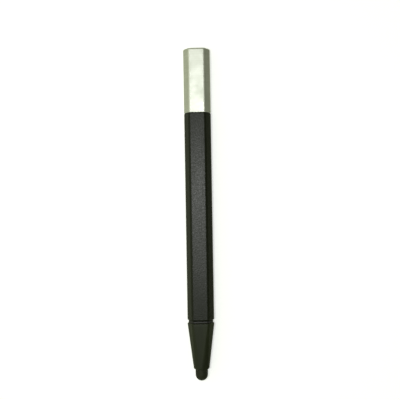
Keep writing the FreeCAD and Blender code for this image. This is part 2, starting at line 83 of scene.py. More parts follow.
def points_of(node):
    """All corners of a node's mesh, one row each."""
    corners = nodes[node].data.vertices
    table = np.empty(3 * len(corners), dtype=np.float32)
    corners.foreach_get("co", table)
    return table.reshape(-1, 3).astype(float)


floor_level, top_level = span("barrel", 2)
axis_height = (floor_level + top_level) / 2
half_flats = (top_level - floor_level) / 2
barrel_points = points_of("barrel")
on_top = np.abs(barrel_points[:, 2] - top_level) < SAME_LEVEL
flat_half_width = np.abs(barrel_points[on_top, 0]).max()
half_width = radius_of("barrel")
slope_reach = (barrel_points[:, 0] * COS_30 + (barrel_points[:, 2] - axis_height) / 2).max()
side_radius = (slope_reach - half_width * COS_30) / (1 - COS_30)
corner_radius = 2 * slope_reach - 2 * flat_half_width * COS_30 - half_flats
print(f"section: {2000 * half_width:.2f} mm wide, {2000 * half_flats:.2f} mm high")
print(f"level flat: {2000 * flat_half_width:.2f} mm wide")
print(f"side edges rounded to {1000 * side_radius:.2f} mm, the others to {1000 * corner_radius:.2f} mm")

# %% [markdown]
# ## One formula for every section
#
# Walk once round the pen, and note at each step the point of the outline and the direction that it faces,
# its normal. Moving every point along its own normal gives a smaller or larger section of the same kind.
# Taking none of the outline and only some of the normal gives a circle. So a nose that starts hexagonal
# and ends round only has to change the two shares on its way.

# %% The walk round a section
CORNER_STEPS = 16
SIDE_STOPS = np.array([0.03, 0.12, 0.5, 0.88, 0.97])


def walk():
    """Returns (outline, normal, edge), one row for each step. The outline is in units of half_flats.

    Edge k is an arc round its own middle: middle + radius * normal, where the normal is cos/sin of an
    angle that grows from 60k - 30 to 60k + 30 degrees. A side is the straight line from one arc's end to
    the next arc's start, and its normal stands still. The edge value is the sine of the way through the
    arc: 0 on a side, 1 in an edge's middle.
    """
    corner_x = flat_half_width
    corner_z, side_x = half_flats - corner_radius, half_width - side_radius
    across = np.array([side_x, corner_x, -corner_x, -side_x, -corner_x, corner_x])
    upward = np.array([0, corner_z, corner_z, 0, -corner_z, -corner_z])
    middles = np.stack([across, upward], axis=-1)[:, None]
    radii = np.array([side_radius, corner_radius, corner_radius] * 2)[:, None, None]
    number = np.arange(6)[:, None]
    way = np.linspace(0, 1, CORNER_STEPS + 1)[None, :]
    arc_turns = np.radians(60.0 * number - 30 + 60 * way)
    arcs = middles + radii * np.stack([np.cos(arc_turns), np.sin(arc_turns)], axis=-1)
    start, end = arcs[:, -1:], np.roll(arcs, -1, axis=0)[:, :1]
    sides = start + (end - start) * SIDE_STOPS[None, :, None]
    side_turns = np.radians(60.0 * number + 30 + 0 * SIDE_STOPS[None, :])
    outline = np.concatenate([arcs, sides], axis=1) / half_flats
    turns = np.concatenate([arc_turns, side_turns], axis=1)
    edge = np.concatenate([np.sin(np.pi * way) + 0 * number, 0 * side_turns], axis=1)
    normals = np.stack([np.cos(turns), np.sin(turns)], axis=-1)
    return outline.reshape(-1, 2), normals.reshape(-1, 2), edge.reshape(-1)


WALK_POINT, WALK_NORMAL, WALK_EDGE = walk()
print("steps round a section:", len(WALK_EDGE))

# %% [markdown]
# ## From a profile to a surface
#
# A piece is then a list of stations along the pen: how far along, how much outline and how much normal.
# No real edge is perfectly sharp, and it is the small roundings that catch the light, so each station may
# ask for its corner to be eased. Two extra stations just outside the rounding keep the long flat faces
# flat when they are shaded smoothly.

# %% Easing a profile's corners
EASE_STEPS = 5
KEEP_FLAT = 1.6


def eased(stations):
    """Rounds a profile's corners. Each station is (along, outline, normal, easing).

    Near an inner station P, points at the easing's distance before and after are joined by the parabola
    (1-s)^2 A + 2s(1-s) P + s^2 B. The distance never passes a third of the way to the next station.
    """
    table = np.array(stations, dtype=float)
    path, easing = table[:, :3], table[:, 3]
    step = np.linspace(0, 1, EASE_STEPS + 1)[:, None]
    rows = [path[:1]]
    for before, corner, after, reach in zip(path[:-2], path[1:-1], path[2:], easing[1:-1]):
        back, ahead = before - corner, after - corner
        shortest = min(np.linalg.norm(back), np.linalg.norm(ahead))
        reach = min(reach, shortest / 3 / KEEP_FLAT)
        if reach <= 0:
            rows.append(corner[None])
            continue
        back, ahead = back / np.linalg.norm(back), ahead / np.linalg.norm(ahead)
        start, end = corner + back * reach, corner + ahead * reach
        bend = (1 - step) ** 2 * start + 2 * step * (1 - step) * corner + step**2 * end
        rows += [(corner + back * reach * KEEP_FLAT)[None], bend, (corner + ahead * reach * KEEP_FLAT)[None]]
    return np.concatenate(rows + [path[-1:]])


# %% Carrying the section along the profile
WELD = 1e-9


def surface(name, profile):
    """Makes a closed mesh from a profile of (along, outline, normal) rows.

    x = outline * outline_x + normal * normal_x
    y = along
    z = axis height + outline * outline_z + normal * normal_z

    Points that fall together, as at a pole or where the outline has shrunk away, are welded, each square
    becomes two triangles, and a triangle that lost a corner is dropped. The sign of the enclosed volume,
    a sixth of the sum of a . (b x c) over the triangles, says which way the faces look, and they are
    turned outwards if it is negative.
    """
    along, outline, normal = profile.T[:, :, None]
    across = outline * WALK_POINT[None, :, 0] + normal * WALK_NORMAL[None, :, 0]
    upward = axis_height + outline * WALK_POINT[None, :, 1] + normal * WALK_NORMAL[None, :, 1]
    grid = np.stack([across, along + 0 * across, upward], axis=-1)
    rows, steps = grid.shape[:2]
    index = np.arange(rows * steps).reshape(rows, steps)
    a, b = index[:-1], index[1:]
    c, d = np.roll(b, -1, axis=1), np.roll(a, -1, axis=1)
    faces = np.concatenate([np.stack([a, b, c], -1).reshape(-1, 3), np.stack([a, c, d], -1).reshape(-1, 3)])
    key = np.round(grid.reshape(-1, 3) / WELD).astype(np.int64)
    _, first, welded = np.unique(key, axis=0, return_index=True, return_inverse=True)
    points = grid.reshape(-1, 3)[first]
    edge = np.broadcast_to(WALK_EDGE * (outline > WELD), (rows, steps)).reshape(-1)[first]
    faces = welded.reshape(-1)[faces]
    whole = (faces[:, 0] != faces[:, 1]) & (faces[:, 1] != faces[:, 2]) & (faces[:, 2] != faces[:, 0])
    faces = faces[whole]
    corner_a, corner_b, corner_c = (points[faces[:, k]] for k in range(3))
    volume = (corner_a * np.cross(corner_b, corner_c)).sum() / 6
    if volume < 0:
        faces = faces[:, ::-1]
    mesh = bpy.data.meshes.new(name)
    mesh.from_pydata(points, [], faces)
    mesh.attributes.new("edge", "FLOAT", "POINT").data.foreach_set("value", edge.astype(np.float32))
    mesh.shade_smooth()
    mesh.validate()
    piece = bpy.data.objects.new(name, mesh)
    bpy.context.scene.collection.objects.link(piece)
    print(f"{name}: {len(points)} points, {len(faces)} triangles, {abs(volume) / MM**3:.1f} cubic mm")
    return piece


def hexagonal(along, inset=0.0, ease=0.0):
    """A station with the pen's own section, drawn in by an inset."""
    return (along, half_flats, -inset, ease)


def round_at(along, radius, ease=0.0):
    """A station with a round section."""
    return (along, 0.0, radius, ease)


# %% [markdown]
# ## The barrel
#
# The barrel is a hexagonal moulding with a bore through it. Its two ends are chamfered, more at the foot,
# and its bore is wider at both ends, for the collar of the cap's spigot and for the brass socket. An
# extruded hexagon with bores cut out of it would do too, but a cut leaves long thin triangles that shade
# badly. So one profile runs along the outside, comes back through the bores and meets itself, and the
# surface is closed like a tyre's.

# %% The barrel's surface
FINE_EASE = 0.06 * MM
END_BREAK = 0.2 * MM
FOOT_BREAK = 0.4 * MM
COLLAR_DEPTH = 1.0 * MM
COLLAR_STEP = 0.2 * MM
PRESS_PLAY = 0.01 * MM


def ends(node):
    """Where a node starts and ends along the pen."""
    return span(node, 1)


barrel_foot, barrel_top = ends("barrel")
socket_top = ends("nose_socket")[1]
bore = radius_of("core_tube") + PRESS_PLAY
socket_bore = radius_of("nose_socket") + PRESS_PLAY
collar_bore = socket_bore + COLLAR_STEP
collar_seat = barrel_top - COLLAR_DEPTH
middle = (barrel_foot + barrel_top) / 2

barrel = surface("barrel_moulding", eased([
    hexagonal(middle),
    hexagonal(barrel_top - END_BREAK, ease=FINE_EASE),
    hexagonal(barrel_top, END_BREAK, FINE_EASE),
    round_at(barrel_top, collar_bore, FINE_EASE),
    round_at(collar_seat, collar_bore),
    round_at(collar_seat, bore),
    round_at(socket_top, bore),
    round_at(socket_top, socket_bore),
    round_at(barrel_foot, socket_bore, FINE_EASE),
    hexagonal(barrel_foot, FOOT_BREAK, FINE_EASE),
    hexagonal(barrel_foot + FOOT_BREAK, ease=FINE_EASE),
    hexagonal(middle),
]))

# %% [markdown]
# ## The cap
#
# The cap is a short length of thin hexagonal tube, closed at the top. The end's rim is rounded, as a
# polished blank is, and the mouth has a fine break so that it does not scratch. A Bevel modifier could
# round the rim too, but the profile has a place for it anyway. It starts on the axis outside the end and
# comes back to the axis inside it, so the wall has its real thickness when the cap is off.

# %% The cap's surface
CAP_RIM = 0.5 * MM
CAP_WALL = 0.6 * MM
CAP_END = 0.8 * MM
MOUTH_BREAK = 0.1 * MM
RIM_STEPS = 10
RIM_MARGIN = 1.3

cap_mouth, cap_top = ends("cap_shell")


def rim(along, radius, inset=0.0, way=1):
    """A quarter circle from an end's face to the side.

    For a from 0 to 90 degrees the station lies radius * (1 - sin a) inside the side and
    radius * (1 - cos a) back from the end. way is 1 at a +Y end and -1 at a -Y end.
    """
    turn = np.linspace(0, np.pi / 2, RIM_STEPS + 1)
    insets, backs = radius * (1 - np.sin(turn)), radius * (1 - np.cos(turn))
    return [hexagonal(along - way * back, inset + depth) for depth, back in zip(insets, backs)]


cap = surface("cap_tube", eased([
    (cap_top, 0.0, 0.0, 0.0),
    (cap_top, half_flats / 2, 0.0, 0.0),
    *rim(cap_top, CAP_RIM),
    hexagonal(cap_top - CAP_RIM * RIM_MARGIN),
    hexagonal(cap_mouth + MOUTH_BREAK, ease=FINE_EASE),
    hexagonal(cap_mouth, MOUTH_BREAK, FINE_EASE),
    hexagonal(cap_mouth, CAP_WALL, FINE_EASE),
    hexagonal(cap_top - CAP_END, CAP_WALL),
    (cap_top - CAP_END, 0.0, 0.0, 0.0),
]))

# %% [markdown]
# ## The nose
#
# The nose starts with a short hexagonal land as wide as the barrel. From there the share of the hexagon
# falls to nothing while the share of the circle grows, so the flats get narrower and fade out before the
# round front. Bridging a hexagon to a circle by hand would need a matching count of corners, and here
# both come from the same walk. Behind the land the nose goes on as a neck, which carries the gasket, and
# as the round spigot that the barrel holds.

# %% The nose's surface
LAND = 0.4 * MM
FRONT_RADIUS = 2.65 * MM
FRONT_CHAMFER = 0.25 * MM
CHAMFER_LEAN = 1.15
ROUND_BAND = 0.5 * MM
BAND_SWELL = 0.03 * MM, 0.09 * MM
CONE_ROWS = 24
TIP_BORE = 1.2 * MM
PLUG_RELIEF = 0.1 * MM
SPIGOT_LEAD = 0.35 * MM
RING_PLAY = 0.015 * MM

nose_front, spigot_top = ends("nose_cone")
seal_points = points_of("nose_seal")
seal_low, seal_high = ends("nose_seal")
seal_hole = np.hypot(seal_points[:, 0], seal_points[:, 2] - axis_height).min()
ring_low, ring_high = ends("nose_o_ring")
spigot = radius_of("nose_o_ring") - RING_PLAY
tip_front, tip_back = ends("tip")
nose_top = seal_low - PRESS_PLAY
neck = seal_hole - PRESS_PLAY
ring_floor = spigot - (ring_high - ring_low)
spring_bore = radius_of("tip_carrier") + PRESS_PLAY
carrier_seat = tip_back + PLUG_RELIEF


def cone(start, end):
    """From a round station to a hexagonal one: both shares change evenly along the pen."""
    way = np.linspace(0, 1, CONE_ROWS)[:, None]
    return [tuple(row) for row in np.array(start) * (1 - way) + np.array(end) * way]


land_foot = nose_top - LAND
front_edge = nose_front + FRONT_CHAMFER * CHAMFER_LEAN
nose = surface("nose_moulding", eased([
    round_at((nose_front + carrier_seat) / 2, TIP_BORE),
    round_at(nose_front, TIP_BORE, FINE_EASE),
    round_at(nose_front, FRONT_RADIUS - FRONT_CHAMFER, FINE_EASE * 2),
    round_at(front_edge, FRONT_RADIUS + BAND_SWELL[0], FINE_EASE * 2),
    *cone(round_at(front_edge + ROUND_BAND, FRONT_RADIUS + BAND_SWELL[1]), hexagonal(land_foot)),
    hexagonal(nose_top - END_BREAK, ease=FINE_EASE),
    hexagonal(nose_top, END_BREAK, FINE_EASE),
    round_at(nose_top, neck),
    round_at(barrel_foot, neck, FINE_EASE),
    round_at(barrel_foot, spigot),
    round_at(ring_low, spigot, FINE_EASE / 2),
    round_at(ring_low, ring_floor),
    round_at(ring_high, ring_floor),
    round_at(ring_high, spigot, FINE_EASE / 2),
    round_at(spigot_top - SPIGOT_LEAD, spigot, FINE_EASE),
    round_at(spigot_top, spigot - SPIGOT_LEAD, FINE_EASE),
    round_at(spigot_top, spring_bore, FINE_EASE / 2),
    round_at(carrier_seat, spring_bore),
    round_at(carrier_seat, TIP_BORE),
    round_at((nose_front + carrier_seat) / 2, TIP_BORE),
]))

# %% [markdown]
# ## The rubber tip and the rings
#
# The tip is a short cylinder with a ball's end in front and a thinner plug behind, hollow for the metal
# stem. A rubber moulding bulges a little where it leaves the nose, so the cylinder is a touch fuller in
# the middle. The gasket in the groove has the pen's own section, a little smaller, with rounded edges and
# a round hole for the neck. The two friction rings are round cords. A primitive torus would make them,
# but a circle as the profile closes on itself and needs no new kind of mesh.

# %% The tip's surface
TIP_ROWS = 20
BULGE = 0.012
SLIDE_PLAY = 0.03 * MM
TIP_GAP = 0.02 * MM
STEM_RADIUS = 0.6 * MM
STEM_COVER = 1.5 * MM

tip_radius = radius_of("tip")
tip_shoulder = nose_front - TIP_GAP
plug = TIP_BORE - SLIDE_PLAY
stem_hole = STEM_RADIUS + SLIDE_PLAY
stem_foot = tip_front + STEM_COVER


def dome(rows):
    """A ball's end: radius * sin a across and radius * (1 - cos a) along, for a from 0 to 90 degrees."""
    turn = np.linspace(0, np.pi / 2, rows)
    return [round_at(tip_front + tip_radius * (1 - math.cos(a)), tip_radius * math.sin(a)) for a in turn]


tip = surface("tip_rubber", eased([
    *dome(TIP_ROWS),
    round_at((tip_front + tip_radius + nose_front) / 2, tip_radius * (1 + BULGE)),
    round_at(tip_shoulder, tip_radius, FINE_EASE * 2),
    round_at(tip_shoulder, plug),
    round_at(tip_back, plug, FINE_EASE),
    round_at(tip_back, stem_hole),
    round_at(stem_foot, stem_hole),
    (stem_foot, 0.0, 0.0, 0.0),
]))

# %% The gasket's and the rings' surfaces
RING_STEPS = 32
SEAL_ROUND = 0.2 * MM


def ring(name, node):
    """A round-section ring where a node's is: the profile is a circle of half the node's length."""
    low, high = ends(node)
    section = (high - low) / 2
    turn = np.linspace(0, 2 * np.pi, RING_STEPS + 1)
    along = (low + high) / 2 + section * np.cos(turn)
    radius = radius_of(node) - section + section * np.sin(turn)
    rows = np.stack([along, 0 * turn, radius], -1)
    rows[-1] = rows[0]
    return surface(name, rows)


seal_inset = top_level - span("nose_seal", 2)[1]
seal_middle = (seal_low + seal_high) / 2
seal = surface("groove_gasket", eased([
    hexagonal(seal_middle, seal_inset),
    *reversed(rim(seal_high, SEAL_ROUND, seal_inset)),
    round_at(seal_high, seal_hole, FINE_EASE),
    round_at(seal_low, seal_hole, FINE_EASE),
    *rim(seal_low, SEAL_ROUND, seal_inset, -1),
    hexagonal(seal_middle, seal_inset),
]))
nose_ring = ring("nose_friction_ring", "nose_o_ring")
cap_ring = ring("cap_friction_ring", "cap_o_ring")

# %% [markdown]
# ## Joining the surfaces to the pen
#
# The pen comes apart, so every surface has to know what it moves with. The barrel stays, the cap slides
# off the top, the nose slides out of the foot with its gasket and its ring, and the tip pulls off its
# stem. Each surface takes the place of the plain solid that it was measured from. The other seven pieces
# are plain enough to stay as they are.

# %% What each surface rides on and replaces
for piece, body, node, slot in (
    (barrel, "barrel", "barrel", "black_plastic"),
    (cap, "cap", "cap_shell", "pale_aluminium"),
    (nose, "nose", "nose_cone", "nose_plastic"),
    (tip, "tip", "tip", "tip_rubber"),
    (seal, "nose", "nose_seal", "seal_rubber"),
    (nose_ring, "nose", "nose_o_ring", "seal_rubber"),
    (cap_ring, "barrel", "cap_o_ring", "seal_rubber"),
):
    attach(piece, body)
    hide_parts(node)

# %% [markdown]
# ## Materials
#
# A finish is a tree of small nodes. Each pattern is placed in object coordinates, which here are metres
# in the pen's own frame, so a pattern's scale is one over its real size. The colours are given as they
# look on a screen and turned to the linear values that light is worked out in.

# %% Helpers for a finish
def linear(colour):
    """sRGB hex to linear red, green, blue, 1: v/12.92 when dark, ((v + 0.055) / 1.055)^2.4 otherwise."""
    values = [int(colour[i:i + 2], 16) / 255 for i in (1, 3, 5)]
    return tuple(v / 12.92 if v <= 0.04045 else ((v + 0.055) / 1.055) ** 2.4 for v in values) + (1.0,)


def per(size):
    """The scale that gives a pattern features of this size."""
    return 1 / size


def add(material, kind, inputs=None, **settings):
    """Adds one node. Settings are its properties. Each input is a value, or (node, output) to link."""
    tree = material.node_tree
    made = tree.nodes.new("ShaderNode" + kind)
    for name, value in settings.items():
        setattr(made, name, value)
    for name, value in (inputs or {}).items():
        if isinstance(value, tuple) and isinstance(value[0], bpy.types.Node):
            tree.links.new(value[0].outputs[value[1]], made.inputs[name])
        else:
            made.inputs[name].default_value = value
    return made


def finish(name, **shader):
    """A new material, its Principled shader with the given sockets set, and object coordinates."""
    material = bpy.data.materials.new(name)
    material.use_nodes = True
    principled = material.node_tree.nodes["Principled BSDF"]
    for socket, value in shader.items():
        principled.inputs[socket.replace("_", " ")].default_value = value
    place = add(material, "TexCoord")
    return material, principled, place


def stretched(material, place, sizes):
    """Coordinates scaled so that one unit is a size of its own along X, Y and Z."""
    return add(material, "Mapping", {"Vector": (place, "Object"), "Scale": tuple(per(s) for s in sizes)})


def noise(material, vector, size=1.0, detail=2.0, roughness=0.5):
    """Soft random patches about as big as size, from 0 to 1."""
    source = (vector, "Vector") if "Vector" in vector.outputs else (vector, "Object")
    settings = {"Vector": source, "Scale": per(size), "Detail": detail, "Roughness": roughness}
    return add(material, "TexNoise", settings)


def spread(material, source, low, high, start=0.3, end=0.7):
    """Takes a pattern's start..end to low..high."""
    settings = {"Value": source, "From Min": start, "From Max": end, "To Min": low, "To Max": high}
    return add(material, "MapRange", settings)


def blend_colours(material, share, one, two):
    """Mixes two colours, each a hex text or a (node, output) pair, by a share that is such a pair."""
    mixed = add(material, "Mix", data_type="RGBA")
    for socket, value in ((0, share), (6, one), (7, two)):
        if isinstance(value, tuple):
            material.node_tree.links.new(value[0].outputs[value[1]], mixed.inputs[socket])
        else:
            mixed.inputs[socket].default_value = linear(value)
    return mixed


def connect(material, source, output, target, socket):
    """Links one node's output to another's input."""
    material.node_tree.links.new(source.outputs[output], target.inputs[socket])


def tell(*materials):
    """Prints how many nodes each finish took."""
    for material in materials:
        print(f"{material.name}: {len(material.node_tree.nodes)} nodes")


print("middle grey, #808080, is", round(linear("#808080")[0], 3), "in linear light")

# %% [markdown]
# ## Spark-eroded black plastic
#
# The barrel is moulded ABS. The mould was cut by sparks, so its wall is a field of tiny craters, and the
# plastic copies them. Close up this gives a fine even grain that breaks a reflection into glints. The
# real craters are about 0.1 mm wide, too fine to show from arm's length, so they are drawn at 0.55 mm. An
# image texture of such a grain would need the surface unrolled, and would show a seam, while noise in the
# pen's own space has neither. One noise drives the colour, the roughness and the bump, because on the real
# plastic the same craters change all three. Hands polish the six edges first, so those are a little paler
# and smoother.

# %% The barrel's finish
CRATER_ROUGHNESS = 0.285, 0.415
HANDLING = -0.025, 0.025
EDGE_POLISH = -0.06


def spark_eroded_abs():
    """Satin black: craters in tone, gloss and relief, slow streaks of handling, and polished edges."""
    material, shader, place = finish("abs_spark_eroded_black", IOR=1.53, Specular_IOR_Level=0.25)
    crater = noise(material, place, 0.55 * MM, detail=3.0, roughness=0.7)
    patch = noise(material, place, 2.4 * MM, detail=4.0)
    streak = noise(material, stretched(material, place, (4 * MM, 22 * MM, 4 * MM)), detail=3.0)
    tone = spread(material, (crater, "Fac"), 0.0, 1.0, 0.35, 0.68)
    body = blend_colours(material, (tone, "Result"), "#0a0f03", "#151b08")
    worn = add(material, "Attribute", attribute_name="edge")
    rubbed = add(material, "Math", {0: (worn, "Fac"), 1: (patch, "Fac")}, operation="MULTIPLY")
    edge = spread(material, (rubbed, "Value"), 0.0, 0.6, 0.3, 0.8)
    colour = blend_colours(material, (edge, "Result"), (body, 2), "#202218")
    connect(material, colour, 2, shader, "Base Color")
    grain = spread(material, (crater, "Fac"), *CRATER_ROUGHNESS)
    handled = spread(material, (streak, "Fac"), *HANDLING)
    smooth = add(material, "Math", {0: (grain, "Result"), 1: (handled, "Result")}, operation="ADD")
    polish = {0: (edge, "Result"), 1: EDGE_POLISH, 2: (smooth, "Value")}
    shine = add(material, "Math", polish, operation="MULTIPLY_ADD")
    connect(material, shine, "Value", shader, "Roughness")
    bump = add(material, "Bump", {"Strength": 0.7, "Distance": 0.06 * MM, "Height": (crater, "Fac")})
    connect(material, bump, "Normal", shader, "Normal")
    return material


black_abs = spark_eroded_abs()
tell(black_abs)

# %% [markdown]
# ## Anodised aluminium
#
# The cap is drawn aluminium. It was wiped crosswise with a fine abrasive and then anodised in a pale
# champagne tone, which leaves the metal's own reflection but spreads it. The wiping marks run round the
# pen: they are long across it and about 0.1 mm apart along it, drawn at 0.35 mm so that they show. An
# anisotropic shader would draw the highlight out in the same way, but needs tangents. A noise stretched
# across the pen gives real marks and needs none.

# %% The cap's finish
WIPED_ROUGHNESS = 0.45, 0.54
CLOUDING = -0.04, 0.04
FLECK_SHARE = 0.3


def anodised_aluminium():
    """Pale satin metal: wiping marks in tone, gloss and relief, slow clouds, and fine flecks in relief."""
    material, shader, place = finish("aluminium_anodised_pale", Metallic=1.0)
    wipe = noise(material, stretched(material, place, (6 * MM, 0.35 * MM, 6 * MM)), detail=4.0, roughness=0.6)
    cloud = noise(material, place, 4.5 * MM, detail=3.0)
    fleck = noise(material, place, 0.6 * MM, detail=2.0)
    tone = spread(material, (wipe, "Fac"), 0.0, 1.0)
    metal = blend_colours(material, (tone, "Result"), "#eaebe6", "#f9faf7")
    shade = spread(material, (cloud, "Fac"), 0.0, 0.7)
    colour = blend_colours(material, (shade, "Result"), (metal, 2), "#dcdfd7")
    connect(material, colour, 2, shader, "Base Color")
    base = spread(material, (wipe, "Fac"), *WIPED_ROUGHNESS)
    handled = spread(material, (cloud, "Fac"), *CLOUDING)
    rough = add(material, "Math", {0: (base, "Result"), 1: (handled, "Result")}, operation="ADD")
    connect(material, rough, "Value", shader, "Roughness")
    marks = {0: (fleck, "Fac"), 1: FLECK_SHARE, 2: (wipe, "Fac")}
    relief = add(material, "Math", marks, operation="MULTIPLY_ADD")
    bump = add(material, "Bump", {"Strength": 0.12, "Distance": 0.03 * MM, "Height": (relief, "Value")})
    connect(material, bump, "Normal", shader, "Normal")
    return material


pale_aluminium = anodised_aluminium()
tell(pale_aluminium)

# %% [markdown]
# ## Moulded black plastic
#
# The nose comes from a smoother mould than the barrel. It is the same dark plastic with a low, even
# satin, a few faint flow marks along the pen and the fine scuffs that a nose picks up from being put
# down. One function makes it and the acetal of the two hidden mouldings, because only their colours and
# their gloss differ.

# %% The nose's finish, and the hidden mouldings'
def moulded_plastic(name, dark, pale, roughness):
    """A smooth satin moulding, from its two near-equal colours and its middle roughness."""
    material, shader, place = finish(name, IOR=1.5, Specular_IOR_Level=0.40)
    flow = noise(material, stretched(material, place, (1.6 * MM, 9 * MM, 1.6 * MM)), detail=3.0)
    grain = noise(material, place, 0.5 * MM, detail=3.0)
    scuff = noise(material, stretched(material, place, (0.3 * MM, 2.5 * MM, 0.3 * MM)), detail=2.0)
    tone = spread(material, (flow, "Fac"), 0.0, 1.0)
    body = blend_colours(material, (tone, "Result"), dark, pale)
    mark = spread(material, (scuff, "Fac"), 0.0, 0.35, 0.66, 0.8)
    colour = blend_colours(material, (mark, "Result"), (body, 2), "#55554a")
    connect(material, colour, 2, shader, "Base Color")
    satin = spread(material, (grain, "Fac"), roughness - 0.04, roughness + 0.04)
    connect(material, satin, "Result", shader, "Roughness")
    bump = add(material, "Bump", {"Strength": 0.12, "Distance": 0.02 * MM, "Height": (grain, "Fac")})
    connect(material, bump, "Normal", shader, "Normal")
    return material


nose_abs = moulded_plastic("abs_moulded_black", "#131902", "#1d2407", 0.44)
black_acetal = moulded_plastic("acetal_moulded_black", "#161616", "#202020", 0.42)
grey_acetal = moulded_plastic("acetal_moulded_grey", "#8f8f88", "#a3a39b", 0.45)
tell(nose_abs, black_acetal, grey_acetal)

# %% [markdown]
# ## Rubber
#
# The tip is silicone rubber filled with carbon so that it conducts. It is matt and slightly grey, it has
# the small pits of its mould, and it always holds a few specks of lint. The gasket and the rings are
# nitrile rubber, which is blacker and has a slight oily gloss. Lint is round and sparse, so it comes from
# the distance to scattered points and not from a noise, which would make clouds.

# %% The tip's and the rings' finish
def moulded_rubber(name, dark, pale, lint, roughness, pit):
    """Rubber from its two colours, how much lint it holds, its roughness and the size of its pits."""
    material, shader, place = finish(
        name, IOR=1.42, Specular_IOR_Level=0.5, Sheen_Weight=0.1, Sheen_Roughness=0.4)
    pits = noise(material, place, pit, detail=3.0, roughness=0.6)
    cloud = noise(material, place, 1.5 * MM, detail=3.0)
    specks = add(material, "TexVoronoi", {"Vector": (place, "Object"), "Scale": per(0.9 * MM)}, feature="F1")
    tone = spread(material, (cloud, "Fac"), 0.0, 1.0)
    body = blend_colours(material, (tone, "Result"), dark, pale)
    dust = spread(material, (specks, "Distance"), lint, 0.0, 0.08, 0.16)
    colour = blend_colours(material, (dust, "Result"), (body, 2), "#8d8d80")
    connect(material, colour, 2, shader, "Base Color")
    matt = spread(material, (pits, "Fac"), roughness - 0.07, roughness + 0.07)
    connect(material, matt, "Result", shader, "Roughness")
    bump = add(material, "Bump", {"Strength": 0.3, "Distance": 0.03 * MM, "Height": (pits, "Fac")})
    connect(material, bump, "Normal", shader, "Normal")
    return material


tip_rubber = moulded_rubber("silicone_carbon_filled", "#181a0a", "#22240f", 0.4, 0.62, 0.22 * MM)
ring_rubber = moulded_rubber("nitrile_rubber_black", "#141412", "#1d1d1a", 0.15, 0.42, 0.2 * MM)
tell(tip_rubber, ring_rubber)

# %% [markdown]
# ## Turned brass and drawn steel
#
# The inner metal pieces show only when the pen is pulled apart. Brass that was turned on a lathe carries
# fine rings, one for each turn of the work, so its pattern changes quickly along the pen and hardly at
# all round it. Spring wire and the reset pin are drawn steel, with the faint lines of the die. The rings
# are really 0.05 mm apart and are drawn at 0.18 mm so that they show. These pieces keep their plain
# solids, so the marks follow the pen's axes.

# %% The inner metals' finish
def worked_metal(name, dark, pale, roughness, mark_sizes):
    """A bare metal from its two colours, its roughness and the sizes of its tool marks along X, Y and Z."""
    material, shader, place = finish(name, Metallic=1.0)
    marks = noise(material, stretched(material, place, mark_sizes), detail=3.0, roughness=0.6)
    stain = noise(material, place, 2 * MM, detail=4.0)
    tone = spread(material, (marks, "Fac"), 0.0, 1.0)
    bright = blend_colours(material, (tone, "Result"), dark, pale)
    dull = spread(material, (stain, "Fac"), 0.0, 0.4, 0.5, 0.75)
    colour = blend_colours(material, (dull, "Result"), (bright, 2), dark)
    connect(material, colour, 2, shader, "Base Color")
    rough = spread(material, (marks, "Fac"), roughness - 0.06, roughness + 0.08)
    connect(material, rough, "Result", shader, "Roughness")
    bump = add(material, "Bump", {"Strength": 0.2, "Distance": 0.02 * MM, "Height": (marks, "Fac")})
    connect(material, bump, "Normal", shader, "Normal")
    return material


turned_brass = worked_metal("brass_turned", "#a9853f", "#d3b066", 0.28, (4 * MM, 0.18 * MM, 4 * MM))
drawn_steel = worked_metal("steel_drawn", "#8e9092", "#c9cbcc", 0.25, (0.2 * MM, 1.2 * MM, 0.2 * MM))
tell(turned_brass, drawn_steel)

# %% Giving every piece its finish
FINISHES = {
    barrel: black_abs, cap: pale_aluminium, nose: nose_abs, tip: tip_rubber,
    seal: ring_rubber, nose_ring: ring_rubber, cap_ring: ring_rubber,
    nodes["core_tube"]: turned_brass, nodes["nose_socket"]: turned_brass, nodes["tip_carrier"]: turned_brass,
    nodes["contact_spring"]: drawn_steel, nodes["reset_pin"]: drawn_steel,
    nodes["cap_spigot"]: black_acetal, nodes["cap_liner"]: grey_acetal,
}


def dress(piece, material):
    """Puts a material in every slot of a piece, or makes its first slot."""
    if not piece.material_slots:
        piece.data.materials.append(material)
    for slot in piece.material_slots:
        slot.material = material


for piece, material in FINISHES.items():
    dress(piece, material)
print(f"{len(FINISHES)} pieces in {len(set(FINISHES.values()))} finishes")

# %% [markdown]
# ## The floor and the light
#
# The pen lies on a sheet of opal acrylic whose material glows by itself, a painted glow with no lamp behind
# it, so the floor stays plain and pale and the glow lifts the shadow on it, which is weak. One small softbox
# hangs almost straight above the pen
# and a little to the left. The upper flat shines most above the middle and fades towards both ends, and
# the shadow is a narrow soft strip on the right. The room's own glow, which falls from left to right,
# gives the left flats more light than the right ones. The table shows to the camera and takes shadows,
# but is left out of reflections. The room's glow stands in for it there, which keeps the side flats of
# the barrel dark.

# %% The table that the pen lies on
TABLE_HALF = 0.9
TABLE_GLOW = 0.55


